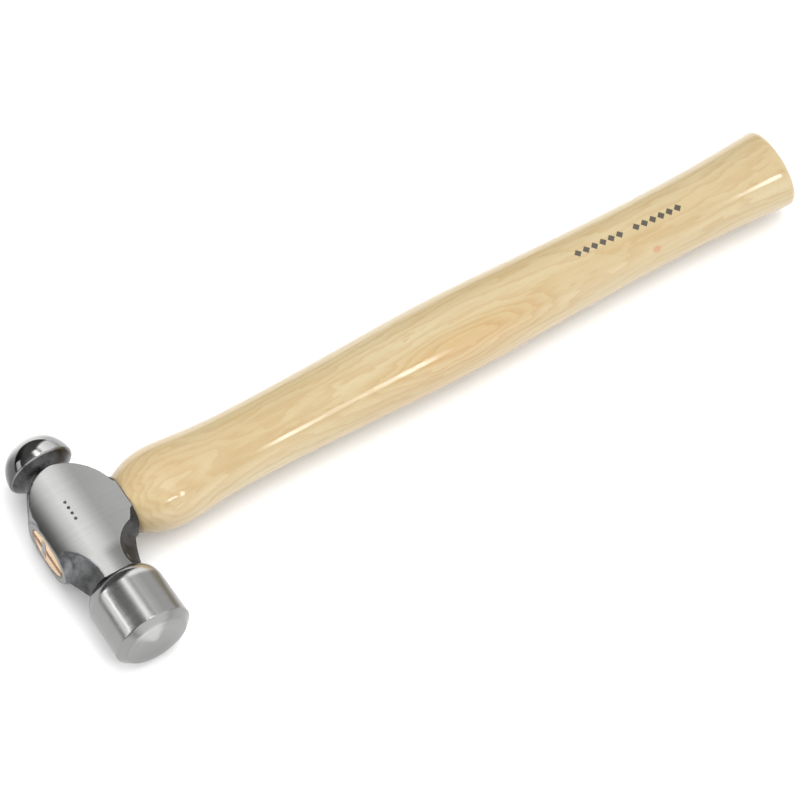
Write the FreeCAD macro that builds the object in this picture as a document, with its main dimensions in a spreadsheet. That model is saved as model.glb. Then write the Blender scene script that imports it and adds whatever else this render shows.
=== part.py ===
import FreeCAD, Part
import os
import re
import Sketcher

# Ball peen hammer lying on its side, in millimetres.
# X runs along the handle from the eye end of the head to the butt, Y along the head from
# the striking face to the ball pein, and Z up through the cheeks.
# Every piece is drawn around the middle of the eye, where the head's axis crosses the
# handle's, and its Placement then puts the middle of the tool's footprint at the origin
# and the poll on the plane Z = 0.

DIMENSIONS = {
    # whole tool
    "overall_length": 339.2,
    "face_reach": 55.1,
    "pein_reach": 45.8,
    # poll, turned about the head's axis
    "poll_radius": 16.4,
    "poll_back_radius": 15.9,
    "poll_back": 32.2,
    "face_bevel": 3.22,
    "face_flat_radius": 10.4,
    "face_crown": 0.31,
    "shoulder_bulge": 9.4,
    # necks and ball
    "poll_neck_radius": 12.5,
    "poll_neck_reach": 26,
    "core_radius": 11.8,
    "ball_neck_radius": 9.6,
    "ball_neck_reach": 27.6,
    "ball_radius": 14,
    "ball_back_hollow": 12.5,
    "ball_neck_half_width": 8.9,
    # forged body between the necks, at mid height
    "eye_outer_reach": 16.8,
    "eye_entry_reach": 19.8,
    "boss_outer_reach": 16.5,
    "boss_entry_reach": 19.1,
    "entry_flat_back": 7.3,
    "entry_round": 42.6,
    "entry_corner_reach": 17.3,
    "entry_corner_front": 10.4,
    "outer_corner_front": 15,
    "outer_corner_back": 12,
    "outer_round": 62.4,
    "shield_radius": 24.3,
    "web_hollow": 51,
    "neck_half_width": 11.8,
    # forged body at its cheeks
    "cheek_height": 11.6,
    "cheek_crest": 1.5,
    "cheek_entry_height": 9.843,
    "cheek_entry_bow": 130,
    "cheek_break": 9,
    "cheek_break_height": 11.304,
    "cheek_crest_bow": 95,
    "cheek_outer_height": 9.445,
    "cheek_outer_bow": 26,
    "cheek_cut_clearance": 1,
    "cheek_cut_front": 26.5,
    "cheek_tip": 26.8,
    "cheek_tip_half_width": 0.83,
    "cheek_entry_reach": 19.2,
    "cheek_entry_back": 5.2,
    "cheek_entry_round": 16.3,
    "cheek_corner_reach": 15.4,
    "cheek_corner_front": 8.7,
    "cheek_neck_half_width": 6,
    "cheek_outer_reach": 16.2,
    "cheek_outer_front": 5.2,
    "cheek_outer_back": 10.9,
    "cheek_outer_round": 18.2,
    "flank_hollow": 13.4,
    "outer_flank_hollow": 22,
    # collar round the eye
    "collar_outer_length": 14.0,
    "collar_entry_length": 12.5,
    "collar_entry_offset": 2.6,
    "collar_end_height": 11.1,
    "collar_mid_length": 17.7,
    "collar_mid_height": 13.5,
    # oval eye, narrowest in the middle
    "eye_lean": 0.9,
    "eye_end_length": 10.9,
    "eye_end_height": 7.7,
    "eye_mid_length": 9.7,
    "eye_mid_height": 6.4,
    "eye_entry_length": 11.2,
    "eye_entry_height": 7.3,
    # row of punched dots on the upper cheek
    "dot_radius": 0.57,
    "dot_depth": 0.42,
    "dot_pitch": 2.7,
    "dot_count": 4,
    "dot_row_x": -2.6,
    "dot_row_start": 1.6,
    # wedges
    "wood_wedge_thick": 2.7,
    "wood_wedge_tip": 0.83,
    "wood_wedge_depth": 28.1,
    "steel_wedge_thick": 2.5,
    "steel_wedge_tip": 0.52,
    "steel_wedge_depth": 17.7,
    "steel_wedge_width": 10.4,
    "steel_wedge_offset": 1.56,
    # handle
    "shaft_offset": 1.87,
    "butt_round": 3.12,
}

# Handle sections: distance from the middle of the eye, half width and half thickness.
HANDLE_SECTIONS = {
    "seat": (19.8, 12.4, 9.6),
    "swell": (27, 16, 11.6),
    "shoulder": (40, 17.7, 12.9),
    "slope": (53, 16.5, 12.3),
    "waist": (82.2, 15.6, 11.6),
    "rise": (122.7, 16.4, 12.7),
    "belly": (168.5, 17.4, 13.7),
    "fall": (214.2, 16, 13.1),
    "throat": (263.1, 15.1, 12.5),
    "flare": (296.4, 15.7, 13),
    "butt": (322.4, 17.4, 14.1),
}
for section, sizes in HANDLE_SECTIONS.items():
    for suffix, value in zip(("_reach", "_half_width", "_half_thick"), sizes):
        DIMENSIONS[section + suffix] = value

doc = FreeCAD.newDocument("ball_peen_hammer")
sheet = doc.addObject("Spreadsheet::Sheet", "dims")
for row, (alias, value) in enumerate(DIMENSIONS.items(), start=1):
    sheet.set("A%d" % row, alias)
    sheet.set("B%d" % row, str(value))
    sheet.setAlias("B%d" % row, alias)
doc.recompute()


def bound(text):
    """The expression with every driving dimension named in full."""
    return re.sub(r"[a-z][a-z_]+", lambda word: "dims." + word.group(0), text)


def number(text):
    """The expression's present value."""
    return float(sheet.evalExpression(bound(text)))


def drive(owner, **properties):
    """Bind properties to the sheet; a double underscore stands for a dot in the path."""
    for path, text in properties.items():
        owner.setExpression(path.replace("__", "."), bound(text))


def plane(body, role):
    return next(item for item in body.Origin.OriginFeatures if item.Role == role)


def sketch_on(body, name, role, offset="0"):
    sketch = body.newObject("Sketcher::SketchObject", name)
    sketch.AttachmentSupport = [(plane(body, role), "")]
    sketch.MapMode = "FlatFace"
    drive(sketch, AttachmentOffset__Base__z=offset)
    return sketch


def pin(sketch, kind, edge, end, text):
    """Hold one end of an edge at a driven distance from the sketch's origin."""
    value = number(text)
    index = sketch.addConstraint(Sketcher.Constraint(kind, -1, 1, edge, end, value))
    sketch.setExpression("Constraints[%d]" % index, bound(text))


def outline(sketch, corners):
    """A closed outline. Each corner is (x, y, bow): bow is None for a straight edge to the
    next corner, or (radius, side) for an arc that bulges to the left (1) or right (-1)."""
    spots = [FreeCAD.Vector(number(x), number(y), 0) for x, y, _ in corners]
    first = sketch.GeometryCount
    ends = []
    for index, (_, _, bow) in enumerate(corners):
        start = spots[index]
        end = spots[(index + 1) % len(spots)]
        if bow is None:
            sketch.addGeometry(Part.LineSegment(start, end), False)
            ends.append((1, 2))
            continue
        radius = number(bow[0])
        half = (end - start).Length / 2
        sag = radius - (radius * radius - half * half) ** 0.5
        across = FreeCAD.Vector(start.y - end.y, end.x - start.x, 0).normalize()
        middle = (start + end) / 2 + across * (sag * bow[1])
        if bow[1] > 0:
            sketch.addGeometry(Part.Arc(end, middle, start), False)
            ends.append((2, 1))
        else:
            sketch.addGeometry(Part.Arc(start, middle, end), False)
            ends.append((1, 2))
    for index, (x, y, bow) in enumerate(corners):
        edge = first + index
        after = (index + 1) % len(corners)
        join = Sketcher.Constraint("Coincident", edge, ends[index][1], first + after, ends[after][0])
        sketch.addConstraint(join)
        pin(sketch, "DistanceX", edge, ends[index][0], x)
        pin(sketch, "DistanceY", edge, ends[index][0], y)
        if bow is not None:
            held = sketch.addConstraint(Sketcher.Constraint("Radius", edge, number(bow[0])))
            sketch.setExpression("Constraints[%d]" % held, bound(bow[0]))
    return sketch


def oval(sketch, along, across, offset="0"):
    """An ellipse with driven half axes, its middle a driven way along the first of them."""
    middle = FreeCAD.Vector(number(offset), 0, 0)
    long_tip = middle + FreeCAD.Vector(number(along), 0, 0)
    short_tip = middle + FreeCAD.Vector(0, number(across), 0)
    sketch.addGeometry(Part.Ellipse(long_tip, short_tip, middle), False)
    sketch.exposeInternalGeometry(0)
    sketch.addConstraint(Sketcher.Constraint("PointOnObject", 0, 3, -1))
    sketch.addConstraint(Sketcher.Constraint("Horizontal", 1))
    pin(sketch, "DistanceX", 0, 3, offset)
    pin(sketch, "DistanceX", 1, 1, "%s + %s" % (offset, along))
    pin(sketch, "DistanceY", 2, 1, across)
    return sketch


def loft(body, kind, name, sections, ruled):
    feature = body.newObject(kind, name)
    feature.Profile = sections[0]
    feature.Sections = sections[1:]
    feature.Ruled = ruled
    return feature


def seat(piece):
    """Put a piece drawn round the middle of the eye where the tool's frame wants it."""
    drive(piece,
          Placement__Base__x="eye_outer_reach - overall_length / 2",
          Placement__Base__y="(face_reach - pein_reach) / 2",
          Placement__Base__z="poll_radius")


# ---------------------------------------------------------------- head
# One drop forging, turned and ground at both ends.
head = doc.addObject("PartDesign::Body", "hammer_head")
head.Label = "hammer_head"


def turned_ends():
    """Poll, round core and ball in one turning about the head's axis."""
    half = sketch_on(head, "turned_outline", "XY_Plane")
    outline(half, [
        ("0", "-face_reach", None),
        ("face_flat_radius", "-face_reach", None),
        ("poll_radius - face_bevel", "-face_reach + face_crown", None),
        ("poll_radius", "-face_reach + face_bevel", None),
        ("poll_back_radius", "-poll_back", ("shoulder_bulge", -1)),
        ("poll_neck_radius", "-poll_neck_reach", None),
        ("core_radius", "-poll_neck_reach", None),
        ("core_radius", "0", None),
        ("ball_neck_radius", "ball_neck_reach", ("ball_back_hollow", 1)),
        ("ball_radius", "pein_reach - ball_radius", ("ball_radius", -1)),
        ("0", "pein_reach", None),
    ])
    turning = head.newObject("PartDesign::Revolution", "turned_ends")
    turning.Profile = half
    turning.ReferenceAxis = (half, ["V_Axis"])
    turning.Angle = 360


def forged_body():
    """The forging between the necks: widest at its parting plane, drafted to the cheeks.
    Both outlines run clockwise: ball neck, entry side, poll neck, outer side."""
    parting = [
        ("ball_neck_half_width", "ball_neck_reach", ("shield_radius", 1)),
        ("boss_entry_reach", "entry_flat_back", ("entry_round", 1)),
        ("entry_corner_reach", "-entry_corner_front", ("web_hollow", -1)),
        ("neck_half_width", "-poll_neck_reach", None),
        ("-neck_half_width", "-poll_neck_reach", None),
        ("-boss_outer_reach", "-outer_corner_front", None),
        ("-boss_outer_reach", "outer_corner_back", ("outer_round", 1)),
        ("-ball_neck_half_width", "ball_neck_reach", None),
    ]
    cheek = [
        ("cheek_tip_half_width", "cheek_tip", ("shield_radius", 1)),
        ("cheek_entry_reach", "cheek_entry_back", ("cheek_entry_round", 1)),
        ("cheek_corner_reach", "-cheek_corner_front", ("flank_hollow", -1)),
        ("cheek_neck_half_width", "-poll_neck_reach", None),
        ("-cheek_neck_half_width", "-poll_neck_reach", ("outer_flank_hollow", -1)),
        ("-cheek_outer_reach", "-cheek_outer_front", None),
        ("-cheek_outer_reach", "cheek_outer_back", ("cheek_outer_round", 1)),
        ("-cheek_tip_half_width", "cheek_tip", None),
    ]
    sections = []
    for name, corners, height in (
        ("lower_cheek_outline", cheek, "-cheek_height"),
        ("parting_outline", parting, "0"),
        ("upper_cheek_outline", cheek, "cheek_height"),
    ):
        sections.append(outline(sketch_on(head, name, "XY_Plane", height), corners))
    loft(head, "PartDesign::AdditiveLoft", "forged_body", sections, True)


def eye_collar():
    """An oval collar round the eye, proud of the forging's flanks."""
    sections = []
    for name, place, length, height, offset in (
        ("outer", "-eye_outer_reach", "collar_outer_length", "collar_end_height", "-eye_lean"),
        ("middle", "0", "collar_mid_length", "collar_mid_height", "shaft_offset / 2"),
        ("entry", "eye_entry_reach", "collar_entry_length", "collar_end_height",
         "collar_entry_offset"),
    ):
        ring = sketch_on(head, name + "_collar", "YZ_Plane", place)
        sections.append(oval(ring, length, height, offset))
    loft(head, "PartDesign::AdditiveLoft", "eye_collar", sections, False)


def ground_cheeks():
    """Both cheeks ground from poll shoulder to ball neck: crowned, and rolled off towards
    the outer end of the eye in three arcs that run into each other."""
    for name, side in (("upper", ""), ("lower", "-")):
        above = sketch_on(head, name + "_cheek_waste", "XZ_Plane", "0")
        bulge = 1 if side == "" else -1
        outline(above, [
            ("-eye_outer_reach", side + "cheek_outer_height", ("cheek_outer_bow", bulge)),
            ("-cheek_break", side + "cheek_break_height", ("cheek_crest_bow", bulge)),
            ("-cheek_crest", side + "cheek_height", ("cheek_entry_bow", bulge)),
            ("eye_entry_reach", side + "cheek_entry_height", None),
            ("eye_entry_reach", side + "2 * cheek_height", None),
            ("-eye_outer_reach", side + "2 * cheek_height", None),
        ])
        cut = head.newObject("PartDesign::Pocket", name + "_cheek")
        cut.Profile = above
        cut.SideType = "Two sides"
        drive(cut, Length="cheek_tip + cheek_cut_clearance", Length2="cheek_cut_front")


def eye_ovals(body, prefix):
    """The eye's outline at its outer end, its waist and its handle entry."""
    ends = (
        ("outer", "-eye_outer_reach", "eye_end_length", "eye_end_height", "-eye_lean"),
        ("waist", "0", "eye_mid_length", "eye_mid_height", "0"),
        ("entry", "eye_entry_reach", "eye_entry_length", "eye_entry_height", "eye_lean"),
    )
    return [oval(sketch_on(body, prefix + "_" + name, "YZ_Plane", place), along, across, shift)
            for name, place, along, across, shift in ends]


def double_taper(body, kind, prefix):
    """The eye's own shape, cut from the head or filled by the tenon and its wedge."""
    ovals = eye_ovals(body, prefix)
    loft(body, kind, prefix + "_outer_half", ovals[:2], True)
    doc.recompute()
    loft(body, kind, prefix + "_entry_half", ovals[1:], True)
    doc.recompute()


def punched_dots():
    """A plain row of round punch marks on the upper cheek."""
    spot = sketch_on(head, "dot_outline", "XY_Plane", "cheek_height")
    spot.addGeometry(Part.Circle(FreeCAD.Vector(0, 0, 0), FreeCAD.Vector(0, 0, 1), 1), False)
    pin(spot, "DistanceX", 0, 3, "dot_row_x")
    pin(spot, "DistanceY", 0, 3, "dot_row_start")
    size = spot.addConstraint(Sketcher.Constraint("Radius", 0, 1))
    spot.setExpression("Constraints[%d]" % size, bound("dot_radius"))
    dot = head.newObject("PartDesign::Pocket", "punched_dot")
    dot.Profile = spot
    drive(dot, Length="dot_depth")
    doc.recompute()
    row = head.newObject("PartDesign::LinearPattern", "dot_row")
    row.Originals = [dot]
    row.Direction = (spot, ["V_Axis"])
    drive(row, Length="dot_pitch * (dot_count - 1)", Occurrences="dot_count")
    head.Tip = row


turned_ends()
doc.recompute()
forged_body()
doc.recompute()
eye_collar()
doc.recompute()
ground_cheeks()
doc.recompute()
double_taper(head, "PartDesign::SubtractiveLoft", "eye")
punched_dots()
seat(head)


# ---------------------------------------------------------------- wedges
def wedge_slot(body, kind, name, role, depth, thick, tip, width, offset="0"):
    """A tapered slab driven in from the outer end of the eye, or the slot that it fills."""
    side = sketch_on(body, name + "_outline", role)
    outline(side, [
        ("-eye_outer_reach", "%s - %s / 2" % (offset, thick), None),
        ("-eye_outer_reach + " + depth, "%s - %s / 2" % (offset, tip), None),
        ("-eye_outer_reach + " + depth, "%s + %s / 2" % (offset, tip), None),
        ("-eye_outer_reach", "%s + %s / 2" % (offset, thick), None),
    ])
    slab = body.newObject(kind, name)
    slab.Profile = side
    slab.SideType = "Symmetric"
    drive(slab, Length=width)
    return slab


WOOD_SLOT = ("XZ_Plane", "wood_wedge_depth", "wood_wedge_thick", "wood_wedge_tip",
             "4 * eye_entry_length")
STEEL_SLOT = ("XY_Plane", "steel_wedge_depth", "steel_wedge_thick", "steel_wedge_tip",
              "steel_wedge_width", "steel_wedge_offset")

steel_wedge = doc.addObject("PartDesign::Body", "steel_wedge")
wedge_slot(steel_wedge, "PartDesign::Pad", "steel_slab", *STEEL_SLOT)
seat(steel_wedge)

# The wooden wedge fills the kerf from one wall of the eye to the other.
wooden_wedge = doc.addObject("PartDesign::Body", "wooden_wedge")
double_taper(wooden_wedge, "PartDesign::AdditiveLoft", "wedge_blank")
for name, side in (("upper", "1"), ("lower", "-1")):
    waste = sketch_on(wooden_wedge, name + "_wedge_waste", "XZ_Plane")
    outline(waste, [
        ("-eye_outer_reach", "%s * wood_wedge_thick / 2" % side, None),
        ("-eye_outer_reach + wood_wedge_depth", "%s * wood_wedge_tip / 2" % side, None),
        ("-eye_outer_reach + wood_wedge_depth", "0", None),
        ("2 * eye_entry_reach", "0", None),
        ("2 * eye_entry_reach", "%s * eye_entry_reach" % side, None),
        ("-eye_outer_reach", "%s * eye_entry_reach" % side, None),
    ])
    cut = wooden_wedge.newObject("PartDesign::Pocket", name + "_wedge_face")
    cut.Profile = waste
    cut.SideType = "Symmetric"
    drive(cut, Length="4 * eye_entry_length")
    doc.recompute()
wedge_slot(wooden_wedge, "PartDesign::Pocket", "wooden_wedge_split", *STEEL_SLOT)
seat(wooden_wedge)

# ---------------------------------------------------------------- handle
handle = doc.addObject("PartDesign::Body", "handle")
double_taper(handle, "PartDesign::AdditiveLoft", "tenon")
rings = [oval(sketch_on(handle, name + "_section", "YZ_Plane", name + "_reach"),
              name + "_half_width", name + "_half_thick", "shaft_offset")
         for name in HANDLE_SECTIONS]
shaft = loft(handle, "PartDesign::AdditiveLoft", "shaft", rings, False)
doc.recompute()
wedge_slot(handle, "PartDesign::Pocket", "saw_kerf", *WOOD_SLOT)
doc.recompute()
split = wedge_slot(handle, "PartDesign::Pocket", "steel_wedge_split", *STEEL_SLOT)
doc.recompute()
butt_rim = ["Edge%d" % index for index, edge in enumerate(split.Shape.Edges, start=1)
            if edge.CenterOfMass.x > number("butt_reach - butt_round")]
rounding = handle.newObject("PartDesign::Fillet", "butt_rounding")
rounding.Base = (split, butt_rim)
drive(rounding, Radius="butt_round")
doc.recompute()
seat(handle)
doc.recompute()

pieces = [head, handle, wooden_wedge, steel_wedge]
for item in doc.Objects:
    if "Invalid" in item.State or "Error" in item.State:
        raise RuntimeError("%s failed: %s" % (item.Name, item.State))
for piece in pieces:
    if piece.Shape.isNull() or not piece.Shape.isValid() or len(piece.Shape.Solids) != 1:
        raise RuntimeError("%s is not one valid solid" % piece.Name)
    print(piece.Name, round(piece.Shape.Volume / 1000, 2), "cm3")

os.makedirs("parts", exist_ok=True)
for piece in pieces:
    piece.Label = piece.Name
    piece.Shape.exportStep("parts/%s.step" % piece.Label)
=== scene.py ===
"""Looks for the ball peen hammer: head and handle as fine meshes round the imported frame."""

import math

import bmesh
import bpy
import numpy as np
from mathutils import Matrix, Vector

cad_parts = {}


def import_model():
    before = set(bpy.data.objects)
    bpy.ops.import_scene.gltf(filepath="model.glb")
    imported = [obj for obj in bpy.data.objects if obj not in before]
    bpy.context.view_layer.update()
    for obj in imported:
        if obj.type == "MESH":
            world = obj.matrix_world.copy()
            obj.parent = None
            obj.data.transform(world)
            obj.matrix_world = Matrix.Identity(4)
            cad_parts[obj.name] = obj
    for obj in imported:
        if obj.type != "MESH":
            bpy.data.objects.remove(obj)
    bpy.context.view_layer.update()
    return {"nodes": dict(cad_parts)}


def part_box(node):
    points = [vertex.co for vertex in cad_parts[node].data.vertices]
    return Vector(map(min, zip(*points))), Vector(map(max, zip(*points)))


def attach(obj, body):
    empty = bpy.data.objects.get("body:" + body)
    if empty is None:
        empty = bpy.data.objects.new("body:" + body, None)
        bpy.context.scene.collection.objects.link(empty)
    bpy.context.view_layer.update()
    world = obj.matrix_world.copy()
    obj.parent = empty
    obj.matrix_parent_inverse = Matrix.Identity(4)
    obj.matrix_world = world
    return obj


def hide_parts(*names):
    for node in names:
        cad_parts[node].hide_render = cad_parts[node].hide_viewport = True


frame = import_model()

# ------------------------------------------------------------------ where things are
# Lengths are in units of about 1 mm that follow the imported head. Reaches run from the
# middle of the eye, where the head's axis (Y) crosses the handle's (X).
FACE_REACH = 55.1
PEIN_REACH = 45.8
EYE_OUTER_REACH = 16.8
EYE_ENTRY_REACH = 19.8
SHAFT_OFFSET = 1.87

HEAD_LOW, HEAD_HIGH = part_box("hammer_head")
HANDLE_LOW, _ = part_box("handle")
UNIT = (HEAD_HIGH.y - HEAD_LOW.y) / (FACE_REACH + PEIN_REACH)
EYE = Vector((
    HANDLE_LOW.x + EYE_OUTER_REACH * UNIT,
    HEAD_LOW.y + FACE_REACH * UNIT,
    (HEAD_LOW.z + HEAD_HIGH.z) / 2,
))


def at(x, y, z):
    """A place given in units from the middle of the eye."""
    return EYE + Vector((x, y, z)) * UNIT


def link(obj):
    bpy.context.scene.collection.objects.link(obj)
    return obj


def smoothstep(low, high, value):
    t = np.clip((value - low) / (high - low), 0.0, 1.0)
    return t * t * (3 - 2 * t)


def smooth_shaded(obj):
    for polygon in obj.data.polygons:
        polygon.use_smooth = True


def only_material(obj, material):
    obj.data.materials.clear()
    obj.data.materials.append(material)


# ------------------------------------------------------------------ node helpers
class Shader:
    """A material under construction: add nodes, join sockets, read the result."""

    def __init__(self, name):
        self.material = bpy.data.materials.new(name)
        self.material.use_nodes = True
        self.tree = self.material.node_tree
        self.tree.nodes.clear()
        out = self.add("ShaderNodeOutputMaterial")
        self.bsdf = self.add("ShaderNodeBsdfPrincipled")
        self.join(self.bsdf.outputs["BSDF"], out.inputs["Surface"])

    def add(self, kind, **values):
        node = self.tree.nodes.new(kind)
        for key, value in values.items():
            setattr(node, key, value)
        return node

    def join(self, source, target):
        self.tree.links.new(source, target)

    def feed(self, socket, value):
        if isinstance(value, bpy.types.NodeSocket):
            self.join(value, socket)
        else:
            socket.default_value = value

    def set(self, **values):
        """Principled inputs by name, with an underscore for each space."""
        for key, value in values.items():
            self.feed(self.bsdf.inputs[key.replace("_", " ")], value)

    def coords(self, scale=(1, 1, 1), move=(0, 0, 0)):
        """Object coordinates in units from the middle of the eye, then scaled and moved."""
        place = self.add("ShaderNodeTexCoord").outputs["Object"]
        shifted = self.add("ShaderNodeVectorMath", operation="SUBTRACT")
        self.join(place, shifted.inputs[0])
        shifted.inputs[1].default_value = EYE
        in_units = self.add("ShaderNodeVectorMath", operation="SCALE")
        self.join(shifted.outputs[0], in_units.inputs[0])
        in_units.inputs["Scale"].default_value = 1 / UNIT
        mapping = self.add("ShaderNodeMapping")
        self.join(in_units.outputs[0], mapping.inputs["Vector"])
        mapping.inputs["Scale"].default_value = scale
        mapping.inputs["Location"].default_value = move
        return mapping.outputs["Vector"]

    def noise(self, vector, scale=1.0, detail=4.0, rough=0.55):
        node = self.add("ShaderNodeTexNoise")
        self.join(vector, node.inputs["Vector"])
        node.inputs["Scale"].default_value = scale
        node.inputs["Detail"].default_value = detail
        node.inputs["Roughness"].default_value = rough
        return node.outputs["Fac"]

    def painted(self, name):
        """A value that the mesh carries on its points."""
        return self.add("ShaderNodeAttribute", attribute_name=name).outputs["Fac"]

    def math(self, operation, *values):
        node = self.add("ShaderNodeMath", operation=operation)
        for socket, value in zip(node.inputs, values):
            self.feed(socket, value)
        return node.outputs[0]

    def plus(self, first, second):
        return self.math("ADD", first, second)

    def minus(self, first, second):
        return self.math("SUBTRACT", first, second)

    def times(self, first, *others):
        for value in others:
            first = self.math("MULTIPLY", first, value)
        return first

    def over(self, first, second):
        return self.math("DIVIDE", first, second)

    def absolute(self, value):
        return self.math("ABSOLUTE", value)

    def square(self, value):
        return self.math("MULTIPLY", value, value)

    def remap(self, value, low, high, to_low=0.0, to_high=1.0, smooth=False):
        node = self.add("ShaderNodeMapRange")
        node.interpolation_type = "SMOOTHSTEP" if smooth else "LINEAR"
        self.feed(node.inputs["Value"], value)
        node.inputs["From Min"].default_value = low
        node.inputs["From Max"].default_value = high
        node.inputs["To Min"].default_value = to_low
        node.inputs["To Max"].default_value = to_high
        return node.outputs["Result"]

    def mix(self, factor, first, second):
        """A colour between two others, each a socket or three numbers."""
        node = self.add("ShaderNodeMix", data_type="RGBA")
        self.feed(node.inputs["Factor"], factor)
        colour_sockets = [socket for socket in node.inputs if socket.type == "RGBA"]
        for socket, value in zip(colour_sockets, (first, second)):
            self.feed(socket, (*value, 1.0) if isinstance(value, tuple) else value)
        return next(socket for socket in node.outputs if socket.type == "RGBA")

    def parts(self, vector):
        node = self.add("ShaderNodeSeparateXYZ")
        self.join(vector, node.inputs[0])
        return node.outputs[0], node.outputs[1], node.outputs[2]

    def bump(self, height, distance, strength, under=None):
        """A bumped normal; the distance is in metres."""
        node = self.add("ShaderNodeBump")
        node.inputs["Strength"].default_value = strength
        node.inputs["Distance"].default_value = distance
        self.join(height, node.inputs["Height"])
        if under is not None:
            self.join(under, node.inputs["Normal"])
        return node.outputs["Normal"]


def grey(level):
    return (level, level, level)


# ------------------------------------------------------------------ steel
BRIGHT_STEEL = (1.0, 1.0, 0.985)
CHEEK_FINISH = (-26, 26)   # the Y between which the ground metal has the cheeks' coarser finish
BALL_START = 28


def forged_share(s, place):
    """One on the forging's dark skin, nought on ground metal, with a ragged edge between."""
    breakup = s.times(s.minus(s.noise(place, scale=0.55, detail=6, rough=0.6), 0.5), 0.5)
    return s.remap(s.plus(s.painted("forged"), breakup), 0.35, 0.65, smooth=True)


def ground_colour(s, marks):
    """Ground metal, as bright as the mesh's level says, with painted highlights and shade in it and the
    turning marks showing faintly.
    """
    level_and_painted_sheen = s.times(s.painted("level_and_painted_sheen"), s.remap(marks, 0.3, 0.7, 0.91, 1.09))
    return s.mix(level_and_painted_sheen, grey(0.0), BRIGHT_STEEL)


def forged_colour(s, place, scale_skin):
    """Near black, and a blotchy lighter grey on the outer side round the eye, which fades back to near
    black towards the poll and the ball.
    """
    x, y, _ = s.parts(place)
    outer_side = s.times(s.remap(x, 8, -2, smooth=True), s.remap(y, 18, 12, smooth=True),
                         s.remap(y, -21, -13, 0.15, 1.0, smooth=True))
    worn = s.noise(place, scale=0.3, detail=5, rough=0.6)
    skin = s.plus(s.remap(scale_skin, 0.3, 0.7, 0.0, 0.4), s.remap(worn, 0.35, 0.65, 0.0, 0.6))
    near_black = s.mix(skin, grey(0.03), grey(0.09))
    outer_grey = s.mix(skin, (0.09, 0.093, 0.098), (0.26, 0.265, 0.27))
    return s.mix(outer_side, near_black, outer_grey)


def steel_roughness(s, place, forged, marks, scale_skin):
    """The ball is polished; the cheeks carry a coarser ground finish than the poll."""
    _, y, _ = s.parts(place)
    patches = s.noise(place, scale=0.09, detail=3)
    ground_rough = s.plus(s.remap(marks, 0.3, 0.7, 0.16, 0.23), s.remap(patches, 0.3, 0.7, -0.02, 0.03))
    forged_rough = s.remap(scale_skin, 0.3, 0.75, 0.18, 0.32)
    either = s.plus(ground_rough, s.times(forged, s.minus(forged_rough, ground_rough)))
    poll_side, ball_side = CHEEK_FINISH
    coarse = s.times(s.remap(y, poll_side + 1, poll_side - 1, 0.14, 0.0),
                     s.remap(y, ball_side + 1, ball_side - 1))
    polish = s.times(s.remap(y, BALL_START, BALL_START + 3, 0.0, 0.10), s.remap(forged, 1.0, 0.0))
    return s.minus(s.plus(either, coarse), polish)


def steel_material():
    """Forged steel: ground bright where the mesh says so, left dark in the hollows."""
    s = Shader("head_steel")
    place = s.coords()
    # turning and grinding marks run round the head's axis
    marks = s.noise(s.coords(scale=(0.05, 7.0, 0.05)), detail=5, rough=0.65)
    scale_skin = s.noise(place, scale=1.6, detail=8, rough=0.7)
    forged = forged_share(s, place)
    s.set(Base_Color=s.mix(forged, ground_colour(s, marks), forged_colour(s, place, scale_skin)),
          Roughness=steel_roughness(s, place, forged, marks, scale_skin), Metallic=1.0, Anisotropic=0.75)
    round_axis = s.add("ShaderNodeVectorMath", operation="CROSS_PRODUCT")
    round_axis.inputs[0].default_value = (0, 1, 0)
    s.join(place, round_axis.inputs[1])
    s.set(Tangent=round_axis.outputs[0])
    grain = s.bump(marks, 0.00001, 0.35)
    pits = s.times(scale_skin, forged)
    s.set(Normal=s.bump(pits, 0.00012, 0.8, under=grain))
    return s.material


# ------------------------------------------------------------------ wood
RING_WIDTH = 1.15
PITH = (10.0, -21.0)     # Y and Z of the tree's middle, which lies outside the handle
BELLY_FIGURE_Y = -8
BELLY_FIGURE_HALF_WIDTH = 9
KNOT_X = 258
KNOT_Y = -10
KNOT_HALF_LENGTH = 1.9
KNOT_HALF_WIDTH = 0.9

BAND_START = 226.0
BAND_PITCH = 3.8
BAND_CELLS = 13          # six diamonds, one empty cell, six diamonds
BAND_END = BAND_START + BAND_CELLS * BAND_PITCH
BAND_Y = 2.0
BAND_SLANT = 0.05
BAND_HALF_HEIGHT = 1.75
DIAMOND_FILL = 0.44      # half a diamond's length as a share of its cell
EDGE = 0.1               # how softly the print starts and ends

PALE_WOOD = (0.463, 0.377, 0.221)
MID_WOOD = (0.416, 0.313, 0.159)
LATE_WOOD = (0.36, 0.23, 0.092)
FIBRE_WOOD = (0.49, 0.414, 0.257)
PORE_WOOD = (0.33, 0.21, 0.10)
WARM_WOOD = (0.50, 0.30, 0.12)
KNOT_WOOD = (0.40, 0.17, 0.07)
END_GRAIN = (0.66, 0.38, 0.15)
INK = (0.035, 0.03, 0.025)


def upper_side(s, z):
    return s.remap(z, 0, 1)


def printed_band(s, x, y, z):
    """How much dark ink: two groups of plain diamonds along the top of the throat."""
    from_start = s.minus(x, BAND_START)
    middle = s.minus(BAND_Y, s.times(from_start, BAND_SLANT))
    cell = s.math("FRACT", s.over(from_start, BAND_PITCH))
    along = s.over(s.absolute(s.minus(cell, 0.5)), DIAMOND_FILL)
    across = s.over(s.absolute(s.minus(y, middle)), BAND_HALF_HEIGHT)
    diamond = s.remap(s.plus(along, across), 1.06, 0.94)
    ends = s.times(s.remap(x, BAND_START - EDGE, BAND_START + EDGE),
                   s.remap(x, BAND_END + EDGE, BAND_END - EDGE))
    from_gap = s.absolute(s.minus(x, (BAND_START + BAND_END) / 2))
    outside_gap = s.remap(from_gap, BAND_PITCH / 2 - EDGE, BAND_PITCH / 2 + EDGE)
    return s.times(diamond, upper_side(s, z), ends, outside_gap, 0.92)


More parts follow.
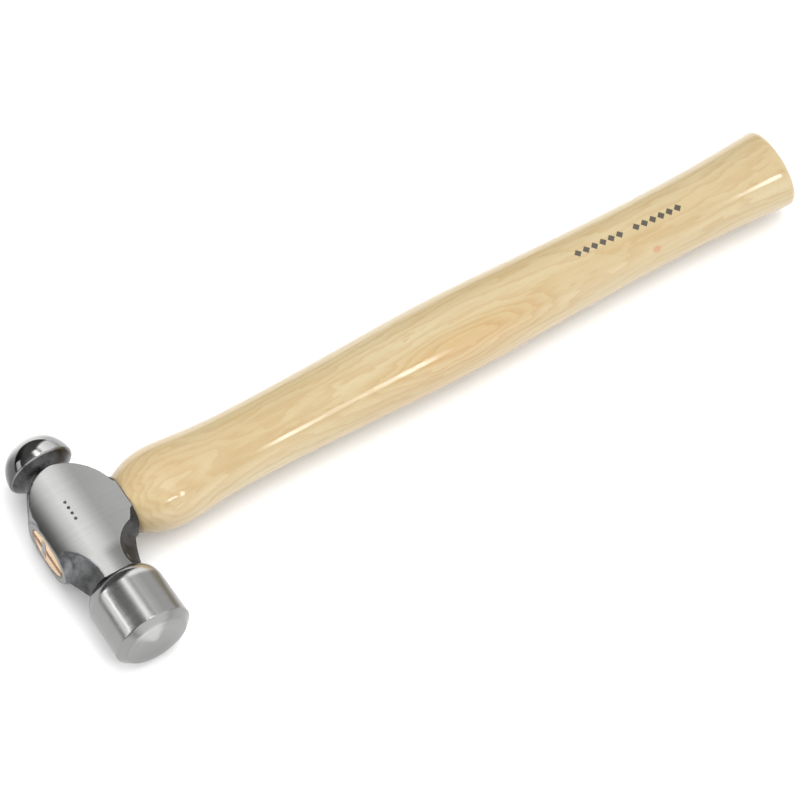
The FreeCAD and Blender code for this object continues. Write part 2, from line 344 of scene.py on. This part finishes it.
def belly_figure(s, x, y, wander):
    """One in the middle of the belly's figure, where the cut runs out of the rings."""
    from_line = s.absolute(s.plus(s.minus(y, BELLY_FIGURE_Y), s.times(wander, 2)))
    return s.times(s.remap(x, 118, 166, smooth=True), s.remap(x, 222, 170, smooth=True),
                   s.remap(from_line, BELLY_FIGURE_HALF_WIDTH, 0, smooth=True))


def growth_ring(s, x, y, z, belly, wander):
    """From nought to one through each year's ring; the belly closes them into ovals."""
    pith_y, pith_z = PITH
    # slow wander of the grain, far longer along the handle than across it
    slow = s.noise(s.coords(scale=(0.008, 0.04, 0.04)), detail=3, rough=0.5)
    from_pith_y = s.plus(s.minus(y, pith_y), s.times(s.minus(slow, 0.5), 8.0))
    from_pith_z = s.plus(s.minus(z, pith_z), s.times(s.minus(wander, 0.5), 4.5))
    radius = s.math("SQRT", s.plus(s.square(from_pith_y), s.square(from_pith_z)))
    runout = s.minus(s.times(belly, 4.0), s.times(x, 0.008))
    return s.math("FRACT", s.over(s.plus(radius, runout), RING_WIDTH))


def knot_share(s, x, y, z):
    """A small reddish knot on the front edge of the throat."""
    along = s.square(s.over(s.minus(x, KNOT_X), KNOT_HALF_LENGTH))
    across = s.square(s.over(s.minus(y, KNOT_Y), KNOT_HALF_WIDTH))
    return s.times(s.remap(s.plus(along, across), 1.6, 0.2, 0.0, 0.7, smooth=True), upper_side(s, z))


def hickory(name):
    """Clear-lacquered hickory: growth rings cut lengthwise, pores and a small knot."""
    s = Shader(name)
    x, y, z = s.parts(s.coords())
    wander = s.noise(s.coords(scale=(0.03, 0.16, 0.16), move=(7, 3, 1)))
    fibre = s.noise(s.coords(scale=(0.08, 3.2, 3.2)), detail=6, rough=0.6)
    pores = s.noise(s.coords(scale=(0.16, 5.5, 5.5), move=(2, 9, 4)), detail=2, rough=0.5)
    tone = s.noise(s.coords(scale=(0.01, 0.07, 0.07), move=(1, 5, 8)), detail=2)
    belly = belly_figure(s, x, y, wander)
    ring = growth_ring(s, x, y, z, belly, wander)
    late = s.times(s.remap(ring, 0.25, 0.92, smooth=True), s.remap(ring, 1.0, 0.94, smooth=True))
    pores = s.times(s.remap(pores, 0.60, 0.72, smooth=True), s.remap(ring, 0.5, 0.05))

    colour = s.mix(s.remap(tone, 0.35, 0.65), PALE_WOOD, MID_WOOD)
    ring_strength = s.plus(0.46, s.times(belly, 0.5))
    colour = s.mix(s.times(late, ring_strength), colour, LATE_WOOD)
    colour = s.mix(s.remap(fibre, 0.35, 0.75, 0.0, 0.35), colour, FIBRE_WOOD)
    colour = s.mix(s.times(pores, 0.45), colour, PORE_WOOD)
    # warmer wood in the belly's figure and, in streaks, close to the head
    near_head = s.times(s.remap(x, 62, 24), s.remap(fibre, 0.40, 0.62))
    colour = s.mix(s.times(s.math("MAXIMUM", belly, near_head), 0.3), colour, WARM_WOOD)
    colour = s.mix(knot_share(s, x, y, z), colour, KNOT_WOOD)
    # end grain at the eye is warmer
    colour = s.mix(s.remap(x, -15.9, -16.4, 0.0, 0.75), colour, END_GRAIN)
    colour = s.mix(printed_band(s, x, y, z), colour, INK)
    s.set(Base_Color=colour, Roughness=0.42, Specular_IOR_Level=0.45, Coat_Weight=0.8, Coat_Roughness=0.09)
    s.set(Normal=s.bump(s.minus(s.times(fibre, 0.5), pores), 0.00004, 0.35))
    return s.material


def wedge_material(name, colour, rough, metal=0.0):
    s = Shader(name)
    grain = s.noise(s.coords(scale=(0.6, 3, 3)), detail=5)
    dark = tuple(c * 0.6 for c in colour)
    s.set(Base_Color=s.mix(grain, colour, dark), Roughness=rough, Metallic=metal)
    s.set(Normal=s.bump(grain, 0.00005, 0.4))
    return s.material


# ------------------------------------------------------------------ head
POLL_RADIUS = 16.4        # where the turned side meets the face's bevel
POLL_FRONT = 51.88
POLL_BACK_RADIUS = 15.9   # where it meets the shoulder
POLL_BACK = 32.2
FACE_FLAT_RADIUS = 9.6
BALL_RADIUS = 14.0
BALL_CENTRE = np.array([0, PEIN_REACH - BALL_RADIUS, 0])

# The cheek is three arcs across: a slack bow to the handle's side, a crest, a tight roll.
CHEEK_HEIGHT = 11.6
CREST_X = -1.5
ENTRY_BOW = 130
CREST_BOW = 95
BREAK_X = -9
BREAK_HEIGHT = 11.304
ROLL_BOW = 26

DOT_X = -2.6
DOT_START = 1.6
DOT_PITCH = 2.7
DOT_COUNT = 4
DOT_RADIUS = 0.62
DOT_DEPTH = 0.42

# how bright the ground metal is, by X: a painted highlight along the crest, painted shade towards the
# edges
CHEEK_PAINTED_SHEEN = ((-17, 0.13), (-14, 0.29), (-11, 0.53), (-7.5, 0.78), (-4, 0.95), (0, 0.82),
                 (4, 0.56), (7, 0.44))
# the same painted highlight and shade along the top of the neck, by X
NECK_PAINTED_SHEEN = ((-6, 0.95), (-2, 0.85), (0.5, 0.52), (2.5, 0.36), (5, 0.28))
BASE_STEEL_LEVEL = 0.235


def remeshed_head():
    """The forging with its edges softly rounded."""
    source = frame["nodes"]["hammer_head"]
    obj = link(bpy.data.objects.new("head_forging", source.data.copy()))
    weld = obj.modifiers.new("weld", "WELD")
    weld.merge_threshold = 1e-6
    remesh = obj.modifiers.new("remesh", "REMESH")
    remesh.mode = "VOXEL"
    remesh.voxel_size = 0.33 * UNIT
    remesh.use_smooth_shade = True
    relax = obj.modifiers.new("relax", "SMOOTH")
    relax.factor = 0.5
    relax.iterations = 7
    graph = bpy.context.evaluated_depsgraph_get()
    mesh = bpy.data.meshes.new_from_object(obj.evaluated_get(graph))
    obj.modifiers.clear()
    obj.data = mesh
    return obj


def drop(radius, away):
    """How far a bow of this radius has fallen, this far from its crest."""
    return radius - np.sqrt(radius ** 2 - away ** 2)


def cheek_height(x):
    """Half the thickness across the cheeks."""
    entry = CHEEK_HEIGHT - drop(ENTRY_BOW, np.clip(x - CREST_X, 0, 22))
    crest = CHEEK_HEIGHT - drop(CREST_BOW, np.clip(CREST_X - x, 0, 8))
    slope = (CREST_X - BREAK_X) / CREST_BOW
    centre_x = BREAK_X + ROLL_BOW * slope
    centre_z = BREAK_HEIGHT - ROLL_BOW * math.sqrt(1 - slope * slope)
    roll = centre_z + np.sqrt(np.maximum(ROLL_BOW ** 2 - (x - centre_x) ** 2, 0))
    return np.where(x > CREST_X, entry, np.where(x > BREAK_X, crest, roll))


def dots(p):
    """Each punched dot in turn: how far every point is from its middle."""
    for k in range(DOT_COUNT):
        yield np.hypot(p[:, 0] - DOT_X, p[:, 1] - DOT_START - DOT_PITCH * k)


def mesh_vectors(mesh, name):
    """One row of three numbers for each vertex."""
    values = np.empty(len(mesh.vertices) * 3)
    mesh.vertices.foreach_get(name, values)
    return values.reshape(-1, 3)


def true_poll(p):
    """The poll's side a slight cone between bevel and shoulder, its face flat."""
    r = np.hypot(p[:, 0], p[:, 2])
    taper = (POLL_RADIUS - POLL_BACK_RADIUS) / (POLL_FRONT - POLL_BACK)
    side = POLL_BACK_RADIUS + taper * (-POLL_BACK - p[:, 1])
    weight = smoothstep(-51.2, -50.6, p[:, 1]) * smoothstep(-32.8, -33.8, p[:, 1])
    near = smoothstep(1.2, 0.6, np.abs(r - side))
    stretch = 1 + weight * near * (side / np.maximum(r, 1e-6) - 1)
    p[:, 0] *= stretch
    p[:, 2] *= stretch
    on_face = (p[:, 1] < -54.4) & (r < FACE_FLAT_RADIUS)
    p[on_face, 1] = -FACE_REACH


def true_ball(p):
    away = p - BALL_CENTRE
    dist = np.linalg.norm(away, axis=1)
    weight = smoothstep(0.8, 1.8, away[:, 1]) * smoothstep(0.8, 0.4, np.abs(dist - BALL_RADIUS))
    stretch = 1 + weight * (BALL_RADIUS / np.maximum(dist, 1e-6) - 1)
    p[:] = BALL_CENTRE + away * stretch[:, None]


def true_cheeks(p, normals):
    """Both cheeks bowed, the upper one with its row of punched dots."""
    height = cheek_height(p[:, 0])
    for sign in (1, -1):
        gap = np.abs(p[:, 2] * sign - height)
        weight = smoothstep(0.25, 0.12, gap) * smoothstep(0.86, 0.92, normals[:, 2] * sign)
        p[:, 2] += weight * (height * sign - p[:, 2])
    for away in dots(p):
        inside = (away < DOT_RADIUS) & (p[:, 2] > 0)
        depth = DOT_DEPTH * smoothstep(DOT_RADIUS, 0.35 * DOT_RADIUS, away)
        p[inside, 2] = (height - depth)[inside]


def true_up(obj):
    """Put the poll, the ball and the cheeks exactly on their turned and ground shapes."""
    mesh = obj.data
    p = (mesh_vectors(mesh, "co") - np.array(EYE)) / UNIT
    normals = mesh_vectors(mesh, "normal")
    true_poll(p)
    true_ball(p)
    true_cheeks(p, normals)
    mesh.vertices.foreach_set("co", (p * UNIT + np.array(EYE)).ravel())
    mesh.update()
    return p, normals


def paint(obj, name, values):
    layer = obj.data.attributes.new(name, "FLOAT", "POINT")
    layer.data.foreach_set("value", values.astype(np.float32))


def paint_head(obj, p, normals):
    """Write "forged", one where the dark skin was left, and the ground metal's level, with painted
    highlights and painted shade in it.
    """
    x, y, z = p.T
    r = np.hypot(x, z)
    up = np.abs(normals[:, 2])
    below = cheek_height(x) - np.abs(z)
    cheek = smoothstep(0.80, 0.90, up) * smoothstep(0.8, 0.3, below)
    poll = smoothstep(-26.2, -27.4, y)
    dome = smoothstep(30.8, 31.8, y)
    rim = smoothstep(0.9, 0.97, np.abs(normals[:, 0])) * smoothstep(15.2, 15.8, np.abs(x))
    # the grinding wheel also ran down the top of the neck towards the poll
    neck = smoothstep(0.72, 0.86, up) * smoothstep(-14, -17, y)
    ground = np.clip(cheek + poll + dome + rim + neck, 0, 1)
    for away in dots(p):
        ground *= 1 - smoothstep(DOT_RADIUS + 0.2, DOT_RADIUS - 0.1, away) * (z > 0)
    paint(obj, "forged", 1 - ground)

    # painted highlight and shade across the cheeks and the top of the neck; the base level elsewhere
    across = np.interp(x, *zip(*CHEEK_PAINTED_SHEEN))
    across += smoothstep(-13, -18, y) * (np.interp(x, *zip(*NECK_PAINTED_SHEEN)) - across)
    level_and_painted_sheen = BASE_STEEL_LEVEL + np.maximum(cheek, neck) * (across - BASE_STEEL_LEVEL)
    # painted highlight on the ball's working end and painted shade on its outer side
    working_end = smoothstep(0.4, 0.85, normals[:, 1])
    outer_side = smoothstep(0.35, 0.8, -normals[:, 0])
    level_and_painted_sheen += dome * (0.38 * working_end - 0.15 * outer_side)
    # painted highlight on the poll's shoulder, next to the top of the neck
    shoulder = smoothstep(-33.5, -31.5, y) * smoothstep(-25.5, -27.0, y)
    level_and_painted_sheen += 0.40 * shoulder * smoothstep(2, 8, np.abs(z)) * smoothstep(-3, 3, x)
    # painted highlight along one sector of the turned face
    around = np.degrees(np.arctan2(z, x))
    sector = smoothstep(-54, -54.9, y) * smoothstep(68, 92, around) * smoothstep(142, 116, around)
    level_and_painted_sheen += 0.18 * sector * smoothstep(0.5, 4, r)
    paint(obj, "level_and_painted_sheen", level_and_painted_sheen)


head = remeshed_head()
points, directions = true_up(head)
paint_head(head, points, directions)
only_material(head, steel_material())
smooth_shaded(head)
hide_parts("hammer_head")
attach(head, "root")


# ------------------------------------------------------------------ handle
TENON = [  # reach, half width, half thickness, sideways offset
    (-EYE_OUTER_REACH + 0.1, 10.55, 7.35, -0.9),
    (-EYE_OUTER_REACH + 0.45, 10.85, 7.65, -0.88),
    (0.0, 9.68, 6.38, 0.0),
    (EYE_ENTRY_REACH, 11.18, 7.28, 0.9),
]
SHAFT = [  # reach, half width, half thickness: the same stations as the frame's handle
    (19.8, 12.4, 9.6), (27.0, 16.0, 11.6), (40.0, 17.7, 12.9), (53.0, 16.5, 12.3),
    (82.2, 15.6, 11.6), (122.7, 16.4, 12.7), (168.5, 17.4, 13.7), (214.2, 16.0, 13.1),
    (263.1, 15.1, 12.5), (296.4, 15.7, 13.0), (322.4, 17.4, 14.1),
]
SHAFT_RINGS = 190
BUTT_ROUND = 3.1
BUTT_RINGS = 8
AROUND = 128
CAP_SHARES = (0.85, 0.65, 0.45, 0.25, 0.1)


def spline(knots, values, wanted):
    """A natural cubic through the handle's sections."""
    knots = np.array(knots)
    values = np.array(values)
    gaps = np.diff(knots)
    size = len(knots)
    grid = np.eye(size)
    right = np.zeros(size)
    for i in range(1, size - 1):
        grid[i, i - 1:i + 2] = gaps[i - 1], 2 * (gaps[i - 1] + gaps[i]), gaps[i]
        right[i] = 6 * ((values[i + 1] - values[i]) / gaps[i] - (values[i] - values[i - 1]) / gaps[i - 1])
    bend = np.linalg.solve(grid, right)
    i = np.clip(np.searchsorted(knots, wanted) - 1, 0, size - 2)
    h = gaps[i]
    a = (knots[i + 1] - wanted) / h
    b = 1 - a
    return (a * values[i] + b * values[i + 1]
            + ((a ** 3 - a) * bend[i] + (b ** 3 - b) * bend[i + 1]) * h * h / 6)


def shaft_ring(x, lost=0.0):
    """(reach, half width, half thickness, offset) of the shaft, made smaller by what is lost."""
    reach, width, thick = zip(*SHAFT)
    return x, float(spline(reach, width, x)) - lost, float(spline(reach, thick, x)) - lost, SHAFT_OFFSET


def handle_rings():
    """Every ring of the handle, from the eye end out."""
    butt = SHAFT[-1][0]
    shaft = [shaft_ring(float(x)) for x in np.linspace(EYE_ENTRY_REACH, butt - BUTT_ROUND, SHAFT_RINGS)]
    rim = []
    for step in range(1, BUTT_RINGS + 1):
        turn = math.pi / 2 * step / BUTT_RINGS
        rim.append(shaft_ring(butt - BUTT_ROUND * (1 - math.sin(turn)), BUTT_ROUND * (1 - math.cos(turn))))
    return TENON + shaft + rim


def build_handle():
    mesh = bmesh.new()

    def ring(x, w, t, offset):
        return [mesh.verts.new(at(x, offset + w * math.cos(a), t * math.sin(a)))
                for a in (2 * math.pi * k / AROUND for k in range(AROUND))]

    def bridge(first, second):
        for k in range(AROUND):
            n = (k + 1) % AROUND
            mesh.faces.new((first[k], first[n], second[n], second[k]))

    def cap(x, w, t, offset, rim):
        """Rings that shrink to the middle, so that the end is evenly divided."""
        outer = rim
        for share in CAP_SHARES:
            inner = ring(x, w * share, t * share, offset)
            bridge(outer, inner)
            outer = inner
        middle = mesh.verts.new(at(x, offset, 0))
        for k in range(AROUND):
            mesh.faces.new((outer[k], outer[(k + 1) % AROUND], middle))

    rings = handle_rings()
    loops = [ring(*values) for values in rings]
    for first, second in zip(loops, loops[1:]):
        bridge(first, second)
    cap(*rings[-1], loops[-1])
    cap(*rings[0], loops[0])
    bmesh.ops.recalc_face_normals(mesh, faces=mesh.faces)
    data = bpy.data.meshes.new("handle_stick")
    mesh.to_mesh(data)
    mesh.free()
    return link(bpy.data.objects.new("handle_stick", data))


def cut_kerfs(obj):
    """Take the two wedges out of the tenon."""
    for wedge in ("wooden_wedge", "steel_wedge"):
        kerf = obj.modifiers.new("kerf_" + wedge, "BOOLEAN")
        kerf.operation = "DIFFERENCE"
        kerf.solver = "EXACT"
        kerf.object = frame["nodes"][wedge]
    graph = bpy.context.evaluated_depsgraph_get()
    cut = bpy.data.meshes.new_from_object(obj.evaluated_get(graph))
    obj.modifiers.clear()
    obj.data = cut


stick = build_handle()
cut_kerfs(stick)
smooth_shaded(stick)
only_material(stick, hickory("handle_wood"))
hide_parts("handle")
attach(stick, "root")

only_material(frame["nodes"]["wooden_wedge"], wedge_material("wedge_wood", (0.30, 0.15, 0.06), 0.6))
only_material(frame["nodes"]["steel_wedge"], wedge_material("wedge_steel", grey(0.35), 0.4, 1.0))


# ------------------------------------------------------------------ floor
FLOOR_REACH = 6.0
CORNERS = ((-1, -1), (1, -1), (1, 1), (-1, 1))

floor_mesh = bpy.data.meshes.new("floor")
floor_mesh.from_pydata([(x * FLOOR_REACH, y * FLOOR_REACH, 0) for x, y in CORNERS], [], [(0, 1, 2, 3)])
floor = link(bpy.data.objects.new("floor", floor_mesh))
pale = Shader("floor_pale")
pale.set(Base_Color=(0.93, 0.93, 0.93, 1.0), Roughness=0.9, Specular_IOR_Level=0.1)
only_material(floor, pale.material)


# ------------------------------------------------------------------ light
# Soft cards the steel and the lacquer see: (towards, length's direction, half length,
# half width, softness, level), with sizes as tangents of the angle from the middle.
CARDS = [
    ((0.07, 0.15, 0.98), (0, 1, 0), 0.70, 0.13, 0.13, 1.2),
    ((-0.94, 0.15, 0.33), (0, 1, 0), 0.75, 0.15, 0.05, 3.1),
    ((0.83, 0.10, 0.55), (0, 1, 0), 1.10, 0.66, 0.15, 1.0),
    ((0.15, -0.93, 0.33), (1, 0, 0), 0.80, 0.30, 0.20, 1.9),
    ((0.255, -0.58, 0.77), (1, 0, 0), 0.014, 0.085, 0.016, 24.0),
    ((0.09, -0.58, 0.80), (1, 0, 0), 0.09, 0.05, 0.03, 12.0),
]
FRONT_WALL = 0.11
BACK_WALL = 0.05
GROUND_LEVEL = 0.75


def world():
    """A dark studio with soft cards round the object, and pale ground below."""
    sky = bpy.data.worlds.new("studio")
    sky.use_nodes = True
    tree = sky.node_tree
    tree.nodes.clear()

    def node(kind, *inputs, **values):
        made = tree.nodes.new(kind)
        for key, value in values.items():
            setattr(made, key, value)
        for socket, value in zip(made.inputs, inputs):
            if isinstance(value, bpy.types.NodeSocket):
                tree.links.new(value, socket)
            else:
                socket.default_value = value
        return made

    def dot(vector):
        return node("ShaderNodeVectorMath", where, vector, operation="DOT_PRODUCT").outputs["Value"]

    def calc(operation, *inputs):
        return node("ShaderNodeMath", *inputs, operation=operation).outputs[0]

    def fade(value, low, high, to_low=0.0, to_high=1.0):
        made = node("ShaderNodeMapRange", value, low, high, to_low, to_high)
        made.interpolation_type = "SMOOTHSTEP"
        return made.outputs["Result"]

    where = node("ShaderNodeTexCoord").outputs["Generated"]
    # the room is darker behind the ball than in front of the face
    walls = fade(dot((0, 1, 0)), 0.2, 0.7, FRONT_WALL, BACK_WALL)
    below = fade(dot((0, 0, 1)), -0.25, 0.03, GROUND_LEVEL, 0.0)
    level = calc("ADD", walls, below)
    for towards, along, half_long, half_wide, soft, bright in CARDS:
        middle = Vector(towards).normalized()
        long_way = (Vector(along) - middle * middle.dot(Vector(along))).normalized()
        wide_way = middle.cross(long_way)
        ahead = calc("MAXIMUM", dot(tuple(middle)), 0.001)
        length = calc("ABSOLUTE", calc("DIVIDE", dot(tuple(long_way)), ahead))
        width = calc("ABSOLUTE", calc("DIVIDE", dot(tuple(wide_way)), ahead))
        inside = calc("MULTIPLY", fade(length, half_long + soft, half_long - soft),
                      fade(width, half_wide + soft, half_wide - soft))
        level = calc("ADD", level, calc("MULTIPLY", inside, bright))
    colour = node("ShaderNodeCombineColor", level, level, level).outputs[0]
    background = node("ShaderNodeBackground", colour, 1.0)
    out = node("ShaderNodeOutputWorld")
    tree.links.new(background.outputs[0], out.inputs[0])
    bpy.context.scene.world = sky


def area(name, place, target, size, power):
    """A soft lamp that lights surfaces but isn't seen in reflections."""
    data = bpy.data.lights.new(name, "AREA")
    data.shape = "RECTANGLE"
    data.size, data.size_y = size
    data.energy = power
    lamp = link(bpy.data.objects.new(name, data))
    lamp.location = place
    lamp.rotation_euler = (Vector(target) - Vector(place)).to_track_quat("-Z", "Y").to_euler()
    lamp.visible_glossy = False


world()
area("top_fill", (-0.1, 0.15, 1.5), (0, 0, 0), (2.2, 2.2), 37)
bpy.context.scene.view_settings.view_transform = "Standard"


# ------------------------------------------------------------------ camera
CAMERA_AIM = (-16.317, -7.999, 16.4)   # in units from the frame's origin
CAMERA_DISTANCE = 2635.972
CAMERA_AZIMUTH = -37.5
CAMERA_ELEVATION = 60.5
CAMERA_ROLL = 6.008
CAMERA_LENS = 303.69
SENSOR_WIDTH = 36
CLIP_END = 50


def camera():
    """The photograph's view: high from the striking-face side, with a long lens."""
    azimuth, elevation, roll = (math.radians(v) for v in (CAMERA_AZIMUTH, CAMERA_ELEVATION, CAMERA_ROLL))
    back = Vector((math.sin(azimuth) * math.cos(elevation),
                   -math.cos(azimuth) * math.cos(elevation), math.sin(elevation)))
    level = Vector((math.cos(azimuth), math.sin(azimuth), 0))
    rise = back.cross(level)
    right = math.cos(roll) * level + math.sin(roll) * rise
    up = -math.sin(roll) * level + math.cos(roll) * rise
    data = bpy.data.cameras.new("photo_view")
    data.sensor_width = SENSOR_WIDTH
    data.lens = CAMERA_LENS
    data.clip_end = CLIP_END
    cam = link(bpy.data.objects.new("photo_view", data))
    turn = Matrix((right, up, back)).transposed()
    place = (Vector(CAMERA_AIM) + back * CAMERA_DISTANCE) * UNIT
    cam.matrix_world = Matrix.Translation(place) @ turn.to_4x4()
    bpy.context.scene.camera = cam


camera()
